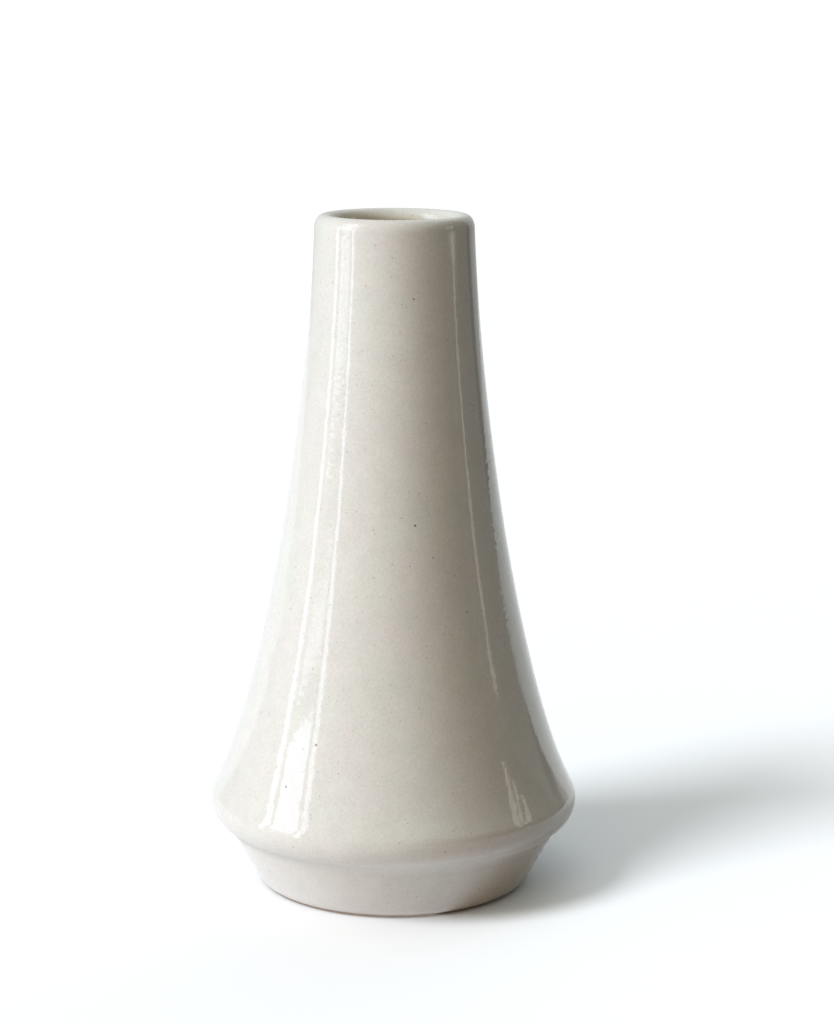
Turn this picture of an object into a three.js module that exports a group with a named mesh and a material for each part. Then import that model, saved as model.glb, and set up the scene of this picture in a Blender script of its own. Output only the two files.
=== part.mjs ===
// Ceramic bud vase: a tall flared stoneware vase with a low rounded shoulder,
// a tucked-in foot and a narrow round mouth. The fired clay body carries two
// glaze coats: a liner poured inside, and a coat outside that stops just above
// the bare clay foot ring. The coats meet on the crest of the lip.
//
// Millimetres, +Z up. The origin is on the table, under the middle of the foot.

import * as THREE from 'three';

// ---- Driving dimensions ----------------------------------------------------

const HEIGHT = 165; // table to the crest of the lip
const FACETS = 48; // flat facets round every turned surface

// Outside of the glazed vase, from the foot up. Each corner is where two
// straight stretches of the outline would meet before it is rounded.
const FOOT = { radius: 32.9, height: 0, rounding: 4.5 };
const WAIST = { radius: 41, height: 14.9, rounding: 6 };
const SHOULDER = { radius: 47.1, height: 19, rounding: 6.1 };
const NECK_RADIUS = 19.2; // just under the lip
const FLANK_LEAN = 27.9; // degrees from upright, where the flank leaves the shoulder
const NECK_LEAN = 2; // degrees from upright, just under the lip
const FLANK_REACH = 28.4; // how far up the flank keeps its lean
const NECK_REACH = 41; // how far down the neck keeps its lean

// Lip: a quarter ellipse outside the crest and another inside it.
const CREST_RADIUS = 16.8;
const LIP_OUTER_DROP = 3.2;
const LIP_INNER_DROP = 2.6;
const MOUTH_RADIUS = 14.4;

// Inside of the glazed vase, from the floor up.
const FLOOR = { radius: 28, height: 6.4, rounding: 8 };
const HAUNCH = { radius: 41, height: 21.4, rounding: 9 };
const INNER_FLANK_REACH = 28;
const INNER_NECK_REACH = 41;

// Glaze coats. The outside coat stops part of the way up the foot's rounding.
const GLAZE = 0.45; // thickness of a coat
const FOOT_STEPS = 5; // stretches along the foot's rounding
const GLAZE_EDGE_STEP = 3; // of those, the bare ones below the coat

// Bare clay under the coat: a flat foot ring round a shallow recess.
const BARE_FOOT = { radius: 31.7, height: 0, rounding: 1.4 };
const RING_INNER_RADIUS = 26.2;
const RECESS_RADIUS = 23.6;
const RECESS_DEPTH = 1.6;

// ---- Outline helpers: a point is (radius, height) ----------------------------

const point = (radius, height) => new THREE.Vector2(radius, height);

const cornerPoint = (corner) => point(corner.radius, corner.height);

const OUTWARDS = point(1, 0);

// Unit vector that leans inwards from upright by some degrees.
function leaningIn(degrees) {
  const angle = THREE.MathUtils.degToRad(degrees);
  return point(-Math.sin(angle), Math.cos(angle));
}

const directionFrom = (start, end) => end.clone().sub(start).normalize();

// Arc in place of a corner, between the way in and the way out.
function roundedCorner(corner, wayIn, wayOut, steps) {
  const turn = Math.atan2(wayIn.cross(wayOut), wayIn.dot(wayOut));
  const setback = corner.rounding * Math.tan(Math.abs(turn) / 2);
  const start = cornerPoint(corner).addScaledVector(wayIn, -setback);
  const inside = point(-wayIn.y, wayIn.x).multiplyScalar(Math.sign(turn));
  const centre = start.clone().addScaledVector(inside, corner.rounding);
  const points = [];
  for (let step = 0; step <= steps; step += 1) {
    points.push(start.clone().rotateAround(centre, (turn * step) / steps));
  }
  return points;
}

// Smooth side wall between the shoulder and the lip, without its two ends.
function flankPoints(bottom, bottomReach, top, topReach, steps) {
  const curve = new THREE.CubicBezierCurve(
    bottom,
    bottom.clone().addScaledVector(leaningIn(FLANK_LEAN), bottomReach),
    top.clone().addScaledVector(leaningIn(NECK_LEAN), -topReach),
    top,
  );
  return curve.getSpacedPoints(steps).slice(1, -1);
}

// Quarter ellipse from the neck, outside or inside, up to the crest of the lip.
function lipPoints(sideRadius, drop, steps) {
  const points = [];
  for (let step = 0; step <= steps; step += 1) {
    const angle = ((Math.PI / 2) * step) / steps;
    const radius = CREST_RADIUS + (sideRadius - CREST_RADIUS) * Math.cos(angle);
    points.push(point(radius, HEIGHT - drop + drop * Math.sin(angle)));
  }
  return points;
}

// The same outline a coat's thickness deeper, on the left of its direction of
// travel. An end that lies on the axis, or on the crest, moves straight down.
function underGlaze(outline) {
  const last = outline.length - 1;
  return outline.map((here, index) => {
    const before = outline[Math.max(index - 1, 0)];
    const after = outline[Math.min(index + 1, last)];
    const along = directionFrom(before, after);
    const onAxis = here.x === 0;
    const onCrest = here.x === CREST_RADIUS;
    const deeper = onAxis || onCrest ? point(0, -1) : point(-along.y, along.x);
    return here.clone().addScaledVector(deeper, GLAZE);
  });
}

// ---- Outlines of the finished, glazed vase -----------------------------------

// Outside, from the edge of the coat on the foot up to the crest of the lip.
function outsideOutline() {
  const upBowl = directionFrom(cornerPoint(FOOT), cornerPoint(WAIST));
  const underShoulder = directionFrom(cornerPoint(WAIST), cornerPoint(SHOULDER));
  const foot = roundedCorner(FOOT, OUTWARDS, upBowl, FOOT_STEPS);
  const shoulder = roundedCorner(SHOULDER, underShoulder, leaningIn(FLANK_LEAN), 6);
  const lip = lipPoints(NECK_RADIUS, LIP_OUTER_DROP, 4);
  return [
    ...foot.slice(GLAZE_EDGE_STEP),
    ...roundedCorner(WAIST, upBowl, underShoulder, 2),
    ...shoulder,
    ...flankPoints(shoulder.at(-1), FLANK_REACH, lip[0], NECK_REACH, 10),
    ...lip,
  ];
}

// Inside, from the crest of the lip down to the middle of the floor.
function insideOutline() {
  const upHaunch = directionFrom(cornerPoint(FLOOR), cornerPoint(HAUNCH));
  const haunch = roundedCorner(HAUNCH, upHaunch, leaningIn(FLANK_LEAN), 5);
  const lip = lipPoints(MOUTH_RADIUS, LIP_INNER_DROP, 3);
  const upwards = [
    point(0, FLOOR.height),
    ...roundedCorner(FLOOR, OUTWARDS, upHaunch, 3),
    ...haunch,
    ...flankPoints(haunch.at(-1), INNER_FLANK_REACH, lip[0], INNER_NECK_REACH, 8),
    ...lip,
  ];
  return upwards.reverse();
}

// ---- The three solids ----------------------------------------------------------

const outside = outsideOutline();
const inside = insideOutline();
const clayOutside = underGlaze(outside);
const clayInside = underGlaze(inside);

// Solid of revolution about +Z from an outline that runs up its outer side.
function turned(outline) {
  return new THREE.LatheGeometry(outline, FACETS).rotateX(Math.PI / 2);
}

// Underside, from the middle of the recess out to where the coat starts.
function bareOutline() {
  const upToCoat = directionFrom(cornerPoint(BARE_FOOT), clayOutside[0]);
  return [
    point(0, RECESS_DEPTH),
    point(RECESS_RADIUS, RECESS_DEPTH),
    point(RING_INNER_RADIUS, 0),
    ...roundedCorner(BARE_FOOT, OUTWARDS, upToCoat, 2),
  ];
}

function stonewareBody() {
  const geometry = turned([...bareOutline(), ...clayOutside, ...clayInside.slice(1)]);
  const material = new THREE.MeshStandardMaterial({
    color: 0xb39e86,
    roughness: 0.9,
    metalness: 0,
  });
  return new THREE.Mesh(geometry, material);
}

function outerGlaze() {
  const geometry = turned([...outside, ...clayOutside.toReversed(), outside[0]]);
  const material = new THREE.MeshStandardMaterial({
    color: 0xd6d2c8,
    roughness: 0.12,
    metalness: 0,
  });
  return new THREE.Mesh(geometry, material);
}

function linerGlaze() {
  const geometry = turned([...clayInside.toReversed(), ...inside]);
  const material = new THREE.MeshStandardMaterial({
    color: 0xd2cdc2,
    roughness: 0.18,
    metalness: 0,
  });
  return new THREE.Mesh(geometry, material);
}

const PIECES = {
  stoneware_body: stonewareBody(),
  outer_glaze: outerGlaze(),
  liner_glaze: linerGlaze(),
};

const vase = new THREE.Group();
for (const [name, mesh] of Object.entries(PIECES)) {
  mesh.name = name;
  vase.add(mesh);
}

export default vase;
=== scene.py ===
import math
from collections import namedtuple

import bmesh
import bpy
from mathutils import Matrix, Vector, noise


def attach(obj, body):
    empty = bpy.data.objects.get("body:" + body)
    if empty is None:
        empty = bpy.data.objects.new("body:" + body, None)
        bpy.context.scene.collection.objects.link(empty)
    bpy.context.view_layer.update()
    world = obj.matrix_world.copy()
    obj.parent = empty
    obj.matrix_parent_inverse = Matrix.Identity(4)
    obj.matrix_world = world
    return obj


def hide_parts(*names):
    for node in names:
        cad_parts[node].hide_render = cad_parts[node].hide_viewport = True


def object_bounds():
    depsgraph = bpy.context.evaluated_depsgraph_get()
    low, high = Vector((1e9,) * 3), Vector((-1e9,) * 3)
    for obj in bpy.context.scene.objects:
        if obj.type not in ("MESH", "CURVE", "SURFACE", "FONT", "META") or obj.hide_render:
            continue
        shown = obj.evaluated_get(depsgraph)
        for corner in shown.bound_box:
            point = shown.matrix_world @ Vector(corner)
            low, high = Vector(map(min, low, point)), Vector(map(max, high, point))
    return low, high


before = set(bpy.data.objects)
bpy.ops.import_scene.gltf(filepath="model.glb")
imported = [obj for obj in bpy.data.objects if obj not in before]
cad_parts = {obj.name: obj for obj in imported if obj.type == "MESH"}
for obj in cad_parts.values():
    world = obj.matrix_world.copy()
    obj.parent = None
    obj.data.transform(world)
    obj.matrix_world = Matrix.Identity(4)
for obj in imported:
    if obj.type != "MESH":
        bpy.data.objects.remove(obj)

# Ceramic bud vase: the glazed stoneware vase of the frame as three smooth, slightly
# uneven turned solids, on a white table in soft daylight from the left.

# The frame's box, before anything is added: lowest and highest corner, in metres.
CAD_LOW, CAD_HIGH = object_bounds()

MM = 0.001
NEARLY_ZERO = 1e-6

# ---- Driving dimensions, in millimetres and degrees --------------------------------

# Where two straight stretches of an outline would meet before they are rounded.
Corner = namedtuple("Corner", "radius height rounding")

HEIGHT = CAD_HIGH.z / MM  # table to the crest of the lip
SEGMENTS = 288  # faces round every turned surface
SHARP_ANGLE = 50  # between two faces, from which their edge is drawn sharp

# Outside of the glazed vase, from the foot up.
FOOT = Corner(32.9, 0.0, 4.5)
WAIST = Corner(41.0, 14.9, 7.4)
SHOULDER = Corner(47.1, 19.0, 6.1)
NECK_RADIUS = 19.2  # just under the lip
FLANK_LEAN = 27.9  # from upright, where the flank leaves the shoulder
NECK_LEAN = 2.0  # from upright, just under the lip
FLANK_REACH = 28.4  # how far up the flank keeps its lean
NECK_REACH = 41.0  # how far down the neck keeps its lean

# Lip: a quarter ellipse outside the crest and another inside it.
CREST_RADIUS = 16.8
LIP_OUTER_DROP = 3.2
LIP_INNER_DROP = 2.6
MOUTH_RADIUS = 14.4

# Inside of the glazed vase, from the floor up.
FLOOR = Corner(28.0, 6.4, 8.0)
HAUNCH = Corner(41.0, 21.4, 9.0)
INNER_FLANK_REACH = 28.0
INNER_NECK_REACH = 41.0

# Glaze coats.
GLAZE = 0.45  # thickness of a coat
SEAT = 0.02  # thin bond line between a coat and the clay
EDGE_ANGLE = 37.0  # how far round the foot's rounding the outer coat stops
EDGE_WANDER = 4.0  # by how much that edge wanders
EDGE_ROLL = 0.3  # how far the rounded edge of the coat bulges
EDGE_STEPS = 6  # stretches round that bulge

# Bare clay under the coat: a flat foot ring round a shallow recess.
BARE_FOOT = Corner(31.7, 0.0, 1.4)
RING_INNER_RADIUS = 26.2
RECESS_RADIUS = 23.6
RECESS_DEPTH = 1.6

# Slow unevenness of a hand-finished pot: size, depth and place in the noise.
SWELLINGS = (
    (38.0, 0.10, Vector((3.1, 0.7, 5.2))),
    (14.0, 0.035, Vector((9.4, 2.2, 1.8))),
)
TRUE_FOOT_HEIGHT = 4.0  # below this it fades, so that the vase stands flat

# Waves of the outer coat's edge: pace round the vase, share and place in the noise.
EDGE_WAVES = (
    (1.6, 0.9, Vector((1.5, 4.0, 2.0))),
    (6.5, 0.5, Vector((7.5, 3.0, 8.0))),
)


# ---- Outline helpers: a point is (radius, height) ----------------------------------

def point(radius, height):
    return Vector((radius, height))


def corner_point(corner):
    return point(corner.radius, corner.height)


OUTWARDS = point(1, 0)


def leaning_in(degrees):
    """Unit vector that leans inwards from upright."""
    angle = math.radians(degrees)
    return point(-math.sin(angle), math.cos(angle))


def rounded_corner(corner, way_in, way_out, steps, start_share=0.0):
    """Arc in place of a corner. start_share leaves out the first part of the arc."""
    turn = math.atan2(way_in.x * way_out.y - way_in.y * way_out.x, way_in.dot(way_out))
    setback = corner.rounding * math.tan(abs(turn) / 2)
    start = corner_point(corner) - way_in * setback
    centre = start + point(-way_in.y, way_in.x) * math.copysign(corner.rounding, turn)
    points = []
    for step in range(steps + 1):
        share = start_share + (1 - start_share) * step / steps
        spoke = start - centre
        spoke.rotate(Matrix.Rotation(turn * share, 2))
        points.append(centre + spoke)
    return points


def straight(start, end, steps):
    """Points between start and end, without the two ends."""
    return [start.lerp(end, step / steps) for step in range(1, steps)]


def flank(bottom, bottom_reach, top, top_reach, steps):
    """Smooth side wall between the shoulder and the lip, without its two ends."""
    low_handle = bottom + leaning_in(FLANK_LEAN) * bottom_reach
    high_handle = top - leaning_in(NECK_LEAN) * top_reach
    points = []
    for step in range(1, steps):
        t = step / steps
        u = 1 - t
        low_part = bottom * u**3 + low_handle * (3 * u * u * t)
        points.append(low_part + high_handle * (3 * u * t * t) + top * t**3)
    return points


def lip(side_radius, drop, steps):
    """Quarter ellipse from the neck, outside or inside, up to the crest."""
    points = []
    for step in range(steps + 1):
        angle = math.pi / 2 * step / steps
        radius = CREST_RADIUS + (side_radius - CREST_RADIUS) * math.cos(angle)
        points.append(point(radius, HEIGHT - drop + drop * math.sin(angle)))
    return points


def deeper(outline, depth):
    """The same outline some way into the wall, on the left of its direction of travel.
    A point on the axis or on the crest moves straight down."""
    moved = []
    last = len(outline) - 1
    for index, here in enumerate(outline):
        along = (outline[min(index + 1, last)] - outline[max(index - 1, 0)]).normalized()
        on_axis = here.x < NEARLY_ZERO
        on_crest = abs(here.x - CREST_RADIUS) < NEARLY_ZERO
        into = point(0, -1) if on_axis or on_crest else point(-along.y, along.x)
        moved.append(here + into * depth)
    return moved


# ---- Outlines of the finished, glazed vase -----------------------------------------

UP_BOWL = (corner_point(WAIST) - corner_point(FOOT)).normalized()
UNDER_SHOULDER = (corner_point(SHOULDER) - corner_point(WAIST)).normalized()
UP_HAUNCH = (corner_point(HAUNCH) - corner_point(FLOOR)).normalized()
FOOT_TURN = math.degrees(math.atan2(UP_BOWL.y, UP_BOWL.x))


def outside_outline(edge_angle):
    """Outside, from the edge of the coat on the foot up to the crest of the lip."""
    foot = rounded_corner(FOOT, OUTWARDS, UP_BOWL, steps=12, start_share=edge_angle / FOOT_TURN)
    waist = rounded_corner(WAIST, UP_BOWL, UNDER_SHOULDER, steps=12)
    shoulder = rounded_corner(SHOULDER, UNDER_SHOULDER, leaning_in(FLANK_LEAN), steps=24)
    top = lip(NECK_RADIUS, LIP_OUTER_DROP, steps=28)
    return [
        *foot,
        *straight(foot[-1], waist[0], steps=12),
        *waist,
        *straight(waist[-1], shoulder[0], steps=4),
        *shoulder,
        *flank(shoulder[-1], FLANK_REACH, top[0], NECK_REACH, steps=72),
        *top,
    ]


def inside_outline():
    """Inside, from the middle of the floor up to the crest of the lip."""
    floor = rounded_corner(FLOOR, OUTWARDS, UP_HAUNCH, steps=10)
    haunch = rounded_corner(HAUNCH, UP_HAUNCH, leaning_in(FLANK_LEAN), steps=16)
    top = lip(MOUTH_RADIUS, LIP_INNER_DROP, steps=28)
    middle = point(0, FLOOR.height)
    return [
        middle,
        *straight(middle, floor[0], steps=8),
        *floor,
        *straight(floor[-1], haunch[0], steps=6),
        *haunch,
        *flank(haunch[-1], INNER_FLANK_REACH, top[0], INNER_NECK_REACH, steps=56),
        *top,
    ]


# ---- Turned solids -----------------------------------------------------------------

def around(angle):
    """Unit vector away from the axis, at an angle round the vase."""
    return Vector((math.cos(angle), math.sin(angle), 0))


def hand_made(place):
    """Moves a point, in millimetres, out or in by the unevenness of the pot."""
    out = Vector((place.x, place.y, 0))
    if out.length < NEARLY_ZERO:
        return place.copy()
    swell = sum(depth * noise.noise(place / size + offset) for size, depth, offset in SWELLINGS)
    fade = min(1.0, max(0.0, place.z / TRUE_FOOT_HEIGHT))
    return place + out.normalized() * swell * fade


def turned(name, outline_at, closed):
    """Closed solid about +Z. outline_at(angle) gives the outline at one angle; the
    outline closes on itself, or both of its ends lie on the axis."""
    mesh = bpy.data.meshes.new(name)
    shape = bmesh.new()
    rings = []
    for segment in range(SEGMENTS):
        angle = 2 * math.pi * segment / SEGMENTS
        for index, (radius, height) in enumerate(outline_at(angle)):
            if segment == 0:
                rings.append([])
            on_axis = radius < NEARLY_ZERO
            if on_axis and segment > 0:
                continue
            place = Vector((0, 0, height))
            if not on_axis:
                place = hand_made(around(angle) * radius + place)
            rings[index].append(shape.verts.new(place * MM))
    count = len(rings)
    for index in range(count if closed else count - 1):
        low, high = rings[index], rings[(index + 1) % count]
        for segment in range(SEGMENTS):
            after = (segment + 1) % SEGMENTS
            corners = [low[segment % len(low)], low[after % len(low)]]
            corners += [high[after % len(high)], high[segment % len(high)]]
            shape.faces.new(dict.fromkeys(corners))
    bmesh.ops.recalc_face_normals(shape, faces=shape.faces)
    for face in shape.faces:
        face.smooth = True
    shape.to_mesh(mesh)
    shape.free()
    mesh.set_sharp_from_angle(angle=math.radians(SHARP_ANGLE))
    piece = bpy.data.objects.new(name, mesh)
    bpy.context.scene.collection.objects.link(piece)
    return piece


def edge_angle_at(angle):
    """Where the outer coat stops on the foot's rounding, at an angle round the vase."""
    way = around(angle)
    wander = sum(share * noise.noise(way * pace + offset) for pace, share, offset in EDGE_WAVES)
    return EDGE_ANGLE + EDGE_WANDER * wander


def outer_glaze_outline(angle):
    """The coat from its rounded lower edge up to the crest, then back down the clay."""
    outside = outside_outline(edge_angle_at(angle))
    inner = deeper(outside, GLAZE - SEAT)
    along = (outside[1] - outside[0]).normalized()
    into = point(-along.y, along.x)
    thickness = (inner[0] - outside[0]).length
    edge = []
    for step in range(EDGE_STEPS + 1):
        turn = math.pi * step / EDGE_STEPS
        share_out = (1 + math.cos(turn)) / 2
        bulge = EDGE_ROLL * math.sin(turn)
        edge.append(inner[0] - into * thickness * (1 - share_out) - along * bulge)
    return [*edge[:-1], *outside, *reversed(inner[1:])]


def clay_outline(_angle):
    """The bare underside, then the outside and the inside under the two coats."""
    outside = deeper(outside_outline(EDGE_ANGLE - 2 * EDGE_WANDER), GLAZE)
    inside = deeper(list(reversed(inside_outline())), GLAZE)
    up_to_coat = (outside[0] - corner_point(BARE_FOOT)).normalized()
    bare = rounded_corner(BARE_FOOT, OUTWARDS, up_to_coat, steps=6)
    middle = point(0, RECESS_DEPTH)
    recess = point(RECESS_RADIUS, RECESS_DEPTH)
    ring = point(RING_INNER_RADIUS, 0)
    return [
        middle,
        *straight(middle, recess, steps=8),
        recess,
        *straight(recess, ring, steps=4),
        ring,
        *straight(ring, bare[0], steps=4),
        *bare,
        *outside,
        *inside[1:],
    ]


def liner_outline(_angle):
    """The coat's clay side from the floor to the crest, then back down its face."""
    inside = inside_outline()
    clay_side = deeper(list(reversed(inside)), GLAZE - SEAT)
    return [*reversed(clay_side), *reversed(inside)]


# ---- Node helpers ------------------------------------------------------------------

class Nodes:
    """Short hand for building a node tree. Each input is a socket to link or a value."""

    def __init__(self, tree):
        self.tree = tree
        tree.nodes.clear()

    def fill(self, socket, value):
        if isinstance(value, bpy.types.NodeSocket):
            self.tree.links.new(value, socket)
        else:
            socket.default_value = value

    def add(self, kind, inputs=None, **settings):
        node = self.tree.nodes.new(kind)
        for name, value in settings.items():
            setattr(node, name, value)
        for name, value in (inputs or {}).items():
            self.fill(node.inputs[name], value)
        return node

    def math(self, operation, *values):
        inputs = dict(enumerate(values))
        return self.add("ShaderNodeMath", inputs, operation=operation).outputs[0]

    def mix(self, share, first, second, blend="MIX"):
        """Mix of two colours, which go into sockets 6 and 7 and come out of socket 2."""
        inputs = {0: share, 6: first, 7: second}
        return self.add("ShaderNodeMix", inputs, data_type="RGBA", blend_type=blend).outputs[2]

    def grey(self, strength):
        inputs = {"Red": strength, "Green": strength, "Blue": strength}
        return self.add("ShaderNodeCombineColor", inputs).outputs[0]

    def times(self, colour, strength):
        """A colour times a number."""
        return self.mix(1.0, colour, self.grey(strength), "MULTIPLY")

    def plus(self, first, second):
        """Sum of two colours."""
        return self.mix(1.0, first, second, "ADD")

    def step(self, value, start, end):
        """Smooth step from 0 at start to 1 at end."""
        inputs = {"Value": value, "From Min": start, "From Max": end}
        node = self.add("ShaderNodeMapRange", inputs, interpolation_type="SMOOTHSTEP")
        return node.outputs["Result"]

    def noise(self, place, size, detail=2.0, roughness=0.5):
        """Noise from 0 to 1, with features about size across in the units of place."""
        inputs = {"Vector": place, "Scale": 1 / size, "Detail": detail, "Roughness": roughness}
        return self.add("ShaderNodeTexNoise", inputs).outputs["Fac"]

    def spots(self, place, cell, radius, softness):
        """Round spots, one for each cell that the surface cuts, 1 inside and 0 outside."""
        inputs = {"Vector": place, "Scale": 1 / cell, "Randomness": 1.0}
        cells = self.add("ShaderNodeTexVoronoi", inputs)
        distance = self.math("MULTIPLY", cells.outputs["Distance"], cell)
        own = self.add("ShaderNodeSeparateColor", {"Color": cells.outputs["Color"]})
        reach = self.math("MULTIPLY", own.outputs[0], radius)
        inputs = {"Value": distance, "From Min": reach, "To Min": 1.0, "To Max": 0.0}
        inputs["From Max"] = self.math("ADD", reach, softness)
        return self.add("ShaderNodeMapRange", inputs).outputs["Result"]


def new_material(name):
    material = bpy.data.materials.new(name)
    material.use_nodes = True
    return material, Nodes(material.node_tree)


def set_surface(nodes, kind, inputs):
    """Gives a material its shader."""
    shader = nodes.add(kind, inputs)
    nodes.add("ShaderNodeOutputMaterial", {"Surface": shader.outputs[0]})


def in_millimetres(nodes):
    """The place on the vase."""
    coordinates = nodes.add("ShaderNodeTexCoord")
    inputs = {0: coordinates.outputs["Object"], "Scale": 1 / MM}
    return nodes.add("ShaderNodeVectorMath", inputs, operation="SCALE").outputs[0]


def height_of(nodes, place):
    return nodes.add("ShaderNodeSeparateXYZ", {"Vector": place}).outputs["Z"]


# ---- Glaze and clay: linear colours, and sizes in millimetres ----------------------

# Mottling of the glaze between two tones, with soft clouds and a fine grain.
GLAZE_PINK = (0.649, 0.581, 0.531, 1)
GLAZE_GREEN = (0.618, 0.599, 0.522, 1)
MOTTLING_SIZE = 14.0
MOTTLING_RANGE = (0.32, 0.68)  # values of the noise that give the two tones
DARKEST = 0.80  # brightness where the clouds and the grain add nothing
CLOUD_SIZE, CLOUD_GAIN = 4.5, 0.12
GRAIN_SIZE, GRAIN_GAIN = 0.55, 0.28

# Spots in the glaze: spacing, greatest radius, soft edge, strength, colour.
DUST = (0.36, 0.31, 0.25, 1)
FRECKLE = (0.30, 0.23, 0.17, 1)
SPECK = (0.11, 0.075, 0.05, 1)
SPOTS = (
    (1.0, 0.11, 0.07, 0.32, DUST),
    (2.1, 0.19, 0.09, 0.50, FRECKLE),
    (5.9, 0.30, 0.11, 0.80, SPECK),
)

GLAZE_IOR = 1.5
GLAZE_ROUGHNESS = 0.05
CREASE_ROUGHNESS = 0.45  # in the crease at the waist
CREASE_REACH = 4.0  # how far above and below the crease the gloss is back

# Orange peel: dimples, faint upright runs and a fine ripple.
PEEL_DEPTH = 0.02
DIMPLE_SIZE = 1.6
RUN_SIZE, RUN_SHARE, RUN_STRETCH = 0.9, 0.25, (1.0, 1.0, 0.09)
RIPPLE_SIZE, RIPPLE_SHARE = 0.6, 0.12

# Painted shade inside the mouth: how much warmer the liner is painted than the outer
# coat, and the depths below the crest between which it turns warmer.
LINER_SHADE_TINT = (1.08, 0.98, 0.83, 1)
LINER_SHADE_DEPTHS = (0.4, 4.0)

CLAY_DARK = (0.30, 0.21, 0.145, 1)
CLAY_LIGHT = (0.50, 0.385, 0.285, 1)
CLAY_CLOUD_SIZE = 2.2
CLAY_GRAIN_SIZE, CLAY_GRAIN_DEPTH = 0.35, 0.08
CLAY_ROUGHNESS = 0.9
CLAY_IOR = 1.45


def glaze_colour(nodes, place):
    """Pink and green mottling with a fine grain, iron dust, freckles and specks."""
    tone = nodes.noise(place, MOTTLING_SIZE, detail=5, roughness=0.85)
    inputs = {"Value": tone, "From Min": MOTTLING_RANGE[0], "From Max": MOTTLING_RANGE[1]}
    tone = nodes.add("ShaderNodeMapRange", inputs).outputs["Result"]
    colour = nodes.mix(tone, GLAZE_PINK, GLAZE_GREEN)
    clouds = nodes.math("MULTIPLY_ADD", nodes.noise(place, CLOUD_SIZE), CLOUD_GAIN, DARKEST)
    grain = nodes.math("MULTIPLY_ADD", nodes.noise(place, GRAIN_SIZE), GRAIN_GAIN, clouds)
    colour = nodes.times(colour, grain)
    for spacing, radius, softness, strength, stain in SPOTS:
        share = nodes.math("MULTIPLY", nodes.spots(place, spacing, radius, softness), strength)
        colour = nodes.mix(share, colour, stain)
    return colour


def orange_peel(nodes, place):
    """Normal of a glaze surface: soft dimples, faint upright runs and a fine ripple."""
    inputs = {0: place, 1: RUN_STRETCH}
    upright = nodes.add("ShaderNodeVectorMath", inputs, operation="MULTIPLY").outputs[0]
    height = nodes.noise(place, DIMPLE_SIZE, detail=1)
    height = nodes.math("MULTIPLY_ADD", nodes.noise(upright, RUN_SIZE), RUN_SHARE, height)
    ripple = nodes.noise(place, RIPPLE_SIZE, detail=1)
    height = nodes.math("MULTIPLY_ADD", ripple, RIPPLE_SHARE, height)
    inputs = {"Strength": 1.0, "Distance": PEEL_DEPTH * MM, "Height": height}
    return nodes.add("ShaderNodeBump", inputs).outputs["Normal"]


def outer_material():
    """Glossy all over, and duller in the crease at the waist."""
    material, nodes = new_material("outer_glaze")
    place = in_millimetres(nodes)
    above_crease = nodes.math("SUBTRACT", height_of(nodes, place), WAIST.height)
    inputs = {"Value": nodes.math("ABSOLUTE", above_crease), "From Max": CREASE_REACH}
    inputs.update({"To Min": CREASE_ROUGHNESS, "To Max": GLAZE_ROUGHNESS})
    roughness = nodes.add("ShaderNodeMapRange", inputs, interpolation_type="SMOOTHSTEP")
    inputs = {"Base Color": glaze_colour(nodes, place), "Normal": orange_peel(nodes, place)}
    inputs.update({"Roughness": roughness.outputs["Result"], "IOR": GLAZE_IOR})
    set_surface(nodes, "ShaderNodeBsdfPrincipled", inputs)
    return material


def liner_material():
    """As the outer coat where the two meet on the lip, browner further down: painted shade."""
    material, nodes = new_material("liner_glaze")
    place = in_millimetres(nodes)
    # Painted shade: the colour turns warmer and browner deeper in the mouth.
    down = nodes.step(height_of(nodes, place), *(HEIGHT - depth for depth in LINER_SHADE_DEPTHS))
    shade_tint = nodes.mix(down, (1, 1, 1, 1), LINER_SHADE_TINT)
    colour = nodes.mix(1.0, glaze_colour(nodes, place), shade_tint, "MULTIPLY")
    inputs = {"Base Color": colour, "Normal": orange_peel(nodes, place)}
    inputs.update({"Roughness": GLAZE_ROUGHNESS, "IOR": GLAZE_IOR})
    set_surface(nodes, "ShaderNodeBsdfPrincipled", inputs)
    return material


def clay_material():
    """Rough brown fired clay."""
    material, nodes = new_material("bare_stoneware")
    place = in_millimetres(nodes)
    clouds = nodes.noise(place, CLAY_CLOUD_SIZE, detail=4, roughness=0.6)
    colour = nodes.mix(clouds, CLAY_DARK, CLAY_LIGHT)
    grain = nodes.noise(place, CLAY_GRAIN_SIZE, detail=3, roughness=0.6)
    inputs = {"Strength": 1.0, "Distance": CLAY_GRAIN_DEPTH * MM, "Height": grain}
    normal = nodes.add("ShaderNodeBump", inputs).outputs["Normal"]
    inputs = {"Base Color": colour, "Normal": normal, "Roughness": CLAY_ROUGHNESS, "IOR": CLAY_IOR}
    set_surface(nodes, "ShaderNodeBsdfPrincipled", inputs)
    return material


# ---- Pieces ------------------------------------------------------------------------

def make_piece(name, outline_at, closed, node, slot, material):
    """One turned solid, which rides on the body and stands for its CAD node."""
    piece = turned(name, outline_at, closed)
    piece.data.materials.append(material)
    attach(piece, "root")
    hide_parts(node)
    return piece


# Name, outline, whether it closes on itself, CAD node, slot, material.
PIECES = (
    ("vase_outer_glaze", outer_glaze_outline, True, "outer_glaze", "outer_glaze", outer_material()),
    ("vase_liner_glaze", liner_outline, False, "liner_glaze", "liner_glaze", liner_material()),
    ("vase_stoneware", clay_outline, False, "stoneware_body", "bare_stoneware", clay_material()),
)
VASE = [make_piece(*row) for row in PIECES]

# ---- Camera, in metres and degrees -------------------------------------------------

CAMERA_PLACE = (0.0056, -0.645, 0.2218)
CAMERA_PITCH = 11.34  # down from level
CAMERA_ROLL = 0.206
CAMERA_LENS = 94.8  # millimetres, as is the sensor
CAMERA_SENSOR = 36
CAMERA_RANGE = (0.01, 100)  # nearest and furthest that it sees


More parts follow.
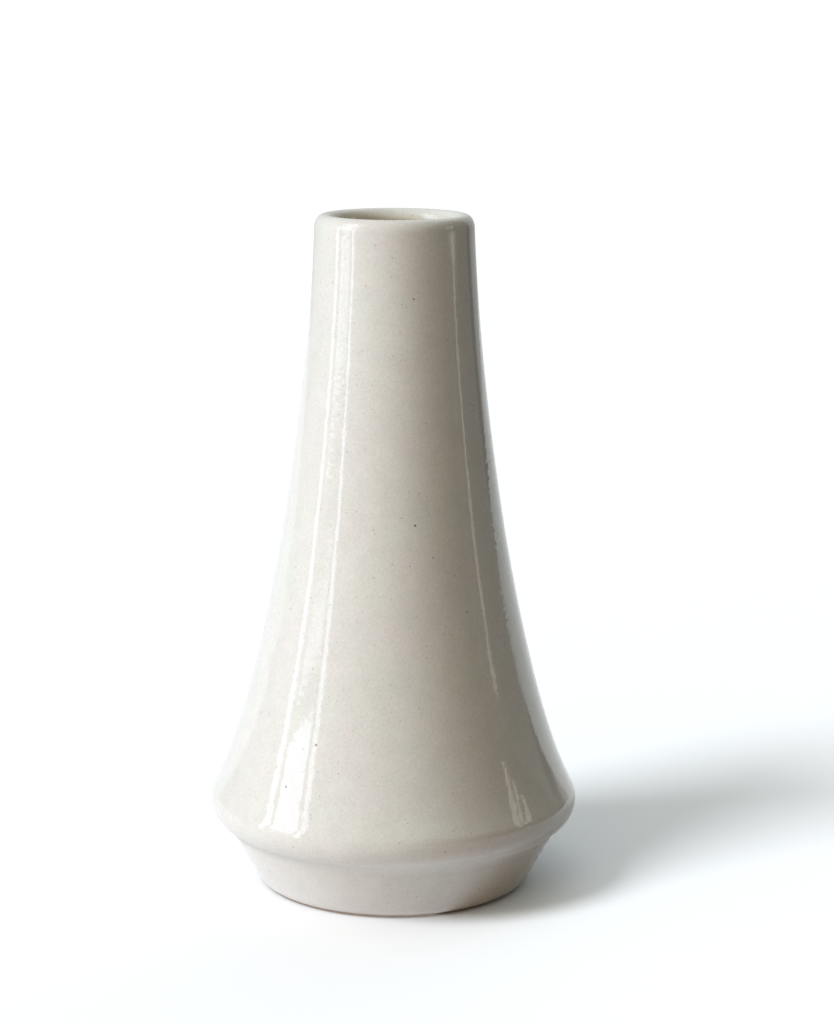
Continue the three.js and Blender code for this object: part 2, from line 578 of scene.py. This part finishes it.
def make_camera():
    data = bpy.data.cameras.new("camera")
    data.lens = CAMERA_LENS
    data.sensor_width = CAMERA_SENSOR
    data.clip_start, data.clip_end = CAMERA_RANGE
    camera = bpy.data.objects.new("camera", data)
    tilt = Matrix.Rotation(math.radians(90 - CAMERA_PITCH), 4, "X")
    roll = Matrix.Rotation(math.radians(CAMERA_ROLL), 4, "Z")
    camera.matrix_world = Matrix.Translation(CAMERA_PLACE) @ tilt @ roll
    bpy.context.scene.collection.objects.link(camera)
    bpy.context.scene.camera = camera


# ---- Table, in metres --------------------------------------------------------------

TABLE_REACH = 1.5
FLOOR_REACH = 40.0
RING_SIDES = 96
FLOOR_WHITE = (0.885, 0.897, 0.918, 1)

# The shaded patch lies a little under the table top, on the side away from the key.
SHADE_REACH = 0.040
SHADE_PLACE = (0.032, 0.004, -0.0002)
SHADE_COLOUR = (0.52, 0.43, 0.36, 1)


def matt_material(name, colour):
    material, nodes = new_material(name)
    set_surface(nodes, "ShaderNodeBsdfDiffuse", {"Color": colour})
    return material


def floor_ring(name, inner_reach, outer_reach, material):
    """Flat ring on the table plane, or a disc when inner_reach is 0."""
    mesh = bpy.data.meshes.new(name)
    shape = bmesh.new()
    is_disc = inner_reach == 0
    bmesh.ops.create_circle(shape, cap_ends=is_disc, segments=RING_SIDES, radius=outer_reach)
    if not is_disc:
        outer = shape.edges[:]
        inner = bmesh.ops.create_circle(shape, segments=RING_SIDES, radius=inner_reach)["verts"]
        inner_edges = [edge for edge in shape.edges if edge.verts[0] in inner]
        bmesh.ops.bridge_loops(shape, edges=outer + inner_edges)
    bmesh.ops.recalc_face_normals(shape, faces=shape.faces)
    shape.to_mesh(mesh)
    shape.free()
    mesh.materials.append(material)
    ring = bpy.data.objects.new(name, mesh)
    bpy.context.scene.collection.objects.link(ring)
    return ring


def make_floor():
    """The table top, which the gloss mirrors, and the sweep beyond it, which it doesn't.
    The light that they throw back at the vase is among the lobes of ROOM_LOBES."""
    material = matt_material("floor", FLOOR_WHITE)
    table = floor_ring("table", 0, TABLE_REACH, material)
    sweep = floor_ring("sweep", TABLE_REACH, FLOOR_REACH, material)
    sweep.visible_glossy = False
    for ring in (table, sweep):
        ring.visible_diffuse = False
        ring.visible_shadow = False
    return [table, sweep]


def make_shade():
    """The part of the table in the vase's own shadow, which throws less light back.
    It counts only for the soft light."""
    shade = floor_ring("shade", 0, SHADE_REACH, matt_material("shade", SHADE_COLOUR))
    shade.location = SHADE_PLACE
    shade.visible_camera = False
    shade.visible_glossy = False


# ---- Light, by azimuth and elevation in degrees ------------------------------------

# The key light, a little lower and further round for the vase than for its shadow on
# the floor: azimuth, elevation, strength, colour.
VASE_KEY = (75.0, 35.0, 2.61, (0.83, 1.0, 1.20))
FLOOR_KEY = (54.1, 44.4, 2.33, (0.972, 1.0, 1.058))
KEY_SPREAD = 21.0  # how wide the sun looks

# Soft light of the room, as wide lobes: azimuth, elevation, colour.
ROOM_LOBES = (
    (80, -60, (1.85, 2.2, 2.6)),
    (40, -15, (1.55, 1.3, 1.2)),
    (200, -15, (0.35, 0.33, 0.3)),
    (40, 20, (0.5, 0.5, 0.35)),
    (200, 20, (1.3, 1.55, 1.3)),
    (40, 60, (0.6, 0.55, 0.5)),
    (200, 60, (0.0, 0.0, 0.45)),
    (0, 90, (0.85, 0.87, 0.58)),
)
LOBE_SHARPNESS = 6

# The window and the right wall in the gloss, as patches: azimuths, elevations, width
# of the soft edge, brightness.
WINDOW_BARS = (
    ((86.0, 90.5), (-5, 50), 0.6, 3.8),
    ((58.8, 62.5), (-5, 50), 0.6, 4.6),
    ((65.0, 82.5), (9, 50), 0.8, 4.6),
)
WINDOW_PANES = (
    ((65.0, 81.5), (3.9, 6.3), 0.4, 3.6),
    ((65.0, 81.0), (-2.5, 1.5), 0.4, 4.0),
)
WINDOW_COLOUR = (0.80, 0.91, 1.12, 1)
SIDE_PATCHES = (
    ((-92.5, -89.0), (-3, 4.5), 0.6, 2.0),
    ((-97.0, -84.0), (-4, -1.6), 0.6, 1.3),
    ((-88.0, -84.0), (10.5, 26), 0.6, 2.4),
    ((-92.0, -89.5), (12, 26), 0.6, 2.6),
    ((-97.5, -94.0), (14, 26), 0.6, 2.6),
)
SIDE_GLOW = [((-125, -78), (-6, 7), 4, 0.25)]
SIDE_COLOUR = (1.0, 0.95, 0.87, 1)

# Streaks across those patches.
STREAK_WIDTH, STREAK_HEIGHT = 1.6, 0.45
STREAK_RANGE = (0.30, 0.60)  # values of the noise that give none and a full streak
BAR_LEAST, BAR_STREAKS = 0.40, 0.75  # brightness between streaks, and what they add
SIDE_LEAST, SIDE_STREAKS = 0.05, 0.95
PANE_CONTRAST = 1.5  # power of the streaks on the panes

# The rest of the room in the gloss: least brightness, then the changes in it and the
# azimuths or elevations between which they come about.
ROOM_LEAST = 0.07
FRONT_RISE, FRONT_AZIMUTHS = 0.8, (-65, 15)
LEFT_FALL, LEFT_AZIMUTHS = -0.4, (92, 115)
BACKDROP, BACKDROP_AZIMUTHS = 0.62, (131, 139)
TABLE_ELEVATIONS = (-5, -8)


def direction(azimuth, elevation):
    """Azimuth runs from the camera's side, -Y, towards the left, -X."""
    a, e = math.radians(azimuth), math.radians(elevation)
    return Vector((-math.sin(a) * math.cos(e), -math.cos(a) * math.cos(e), math.sin(e)))


def make_key_light(name, setting, lit_objects):
    """Soft sun that lights only the objects it is given."""
    azimuth, elevation, strength, colour = setting
    data = bpy.data.lights.new(name, "SUN")
    data.energy = strength
    data.color = colour
    data.angle = math.radians(KEY_SPREAD)
    light = bpy.data.objects.new(name, data)
    way = direction(azimuth, elevation)
    light.rotation_euler = way.to_track_quat("Z", "Y").to_euler()
    light.visible_glossy = False
    bpy.context.scene.collection.objects.link(light)
    receivers = bpy.data.collections.new(name + "_receivers")
    for lit in lit_objects:
        receivers.objects.link(lit)
    light.light_linking.receiver_collection = receivers


def inside(nodes, value, limits, edge):
    """1 between two limits and 0 outside them, with soft edges."""
    low, high = limits
    rise = nodes.step(value, low - edge / 2, low + edge / 2)
    fall = nodes.step(value, high + edge / 2, high - edge / 2)
    return nodes.math("MULTIPLY", rise, fall)


def patches(nodes, azimuth, elevation, table, total=0.0):
    """Adds the brightness of the patches in a table to a total."""
    for azimuths, elevations, edge, brightness in table:
        across = inside(nodes, azimuth, azimuths, edge)
        along = inside(nodes, elevation, elevations, edge)
        patch = nodes.math("MULTIPLY", across, along)
        total = nodes.math("MULTIPLY_ADD", patch, brightness, total)
    return total


def soft_room(nodes, way):
    """Colour of the soft light from one way: the lobes of ROOM_LOBES, added up."""
    total = (0, 0, 0, 1)
    for azimuth, elevation, colour in ROOM_LOBES:
        inputs = {0: way, 1: direction(azimuth, elevation)}
        facing = nodes.add("ShaderNodeVectorMath", inputs, operation="DOT_PRODUCT").outputs["Value"]
        power = nodes.math("MULTIPLY", nodes.math("SUBTRACT", facing, 1.0), LOBE_SHARPNESS)
        total = nodes.plus(total, nodes.times((*colour, 1), nodes.math("EXPONENT", power)))
    return total


def mirrored_surroundings(nodes, azimuth, elevation):
    """Brightness in the gloss of everything but the window and the right wall."""
    front = nodes.math("MULTIPLY", nodes.step(azimuth, *FRONT_AZIMUTHS), FRONT_RISE)
    front = nodes.math("MULTIPLY_ADD", nodes.step(azimuth, *LEFT_AZIMUTHS), LEFT_FALL, front)
    room = nodes.math("ADD", front, ROOM_LEAST)
    backdrop = nodes.step(nodes.math("ABSOLUTE", azimuth), *BACKDROP_AZIMUTHS)
    room = nodes.math("MAXIMUM", room, nodes.math("MULTIPLY", backdrop, BACKDROP))
    return nodes.math("MAXIMUM", room, nodes.step(elevation, *TABLE_ELEVATIONS))


def mirrored_room(nodes, azimuth, elevation):
    """Colour that the gloss mirrors from one way."""
    wide = nodes.math("DIVIDE", azimuth, STREAK_WIDTH)
    high = nodes.math("DIVIDE", elevation, STREAK_HEIGHT)
    place = nodes.add("ShaderNodeCombineXYZ", {"X": wide, "Y": high}).outputs[0]
    streaks = nodes.step(nodes.noise(place, 1.0, detail=4, roughness=0.75), *STREAK_RANGE)
    on_bars = nodes.math("MULTIPLY_ADD", streaks, BAR_STREAKS, BAR_LEAST)
    bars = nodes.math("MULTIPLY", patches(nodes, azimuth, elevation, WINDOW_BARS), on_bars)
    on_panes = nodes.math("POWER", streaks, PANE_CONTRAST)
    panes = patches(nodes, azimuth, elevation, WINDOW_PANES)
    window = nodes.math("MULTIPLY_ADD", panes, on_panes, bars)
    on_side = nodes.math("MULTIPLY_ADD", streaks, SIDE_STREAKS, SIDE_LEAST)
    side = nodes.math("MULTIPLY", patches(nodes, azimuth, elevation, SIDE_PATCHES), on_side)
    side = patches(nodes, azimuth, elevation, SIDE_GLOW, side)
    mirrored = nodes.plus(nodes.times(WINDOW_COLOUR, window), nodes.times(SIDE_COLOUR, side))
    return nodes.plus(mirrored, nodes.grey(mirrored_surroundings(nodes, azimuth, elevation)))


def make_world():
    """White for the camera, mirrored_room for the gloss and soft_room for the rest."""
    world = bpy.data.worlds.new("studio")
    bpy.context.scene.world = world
    world.use_nodes = True
    nodes = Nodes(world.node_tree)
    way = nodes.add("ShaderNodeTexCoord").outputs["Generated"]
    parts = nodes.add("ShaderNodeSeparateXYZ", {"Vector": way}).outputs
    left = nodes.math("MULTIPLY", parts["X"], -1.0)
    near = nodes.math("MULTIPLY", parts["Y"], -1.0)
    azimuth = nodes.math("DEGREES", nodes.math("ARCTAN2", left, near))
    elevation = nodes.math("DEGREES", nodes.math("ARCSINE", parts["Z"]))
    path = nodes.add("ShaderNodeLightPath").outputs
    mirrored = mirrored_room(nodes, azimuth, elevation)
    seen = nodes.mix(path["Is Glossy Ray"], soft_room(nodes, way), mirrored)
    seen = nodes.mix(path["Is Camera Ray"], seen, (1, 1, 1, 1))
    background = nodes.add("ShaderNodeBackground", {"Color": seen, "Strength": 1.0})
    nodes.add("ShaderNodeOutputWorld", {"Surface": background.outputs[0]})


make_camera()
FLOOR_RINGS = make_floor()
make_shade()
make_world()
make_key_light("vase_key", VASE_KEY, VASE)
make_key_light("floor_key", FLOOR_KEY, FLOOR_RINGS)

bpy.context.scene.view_settings.view_transform = "Standard"
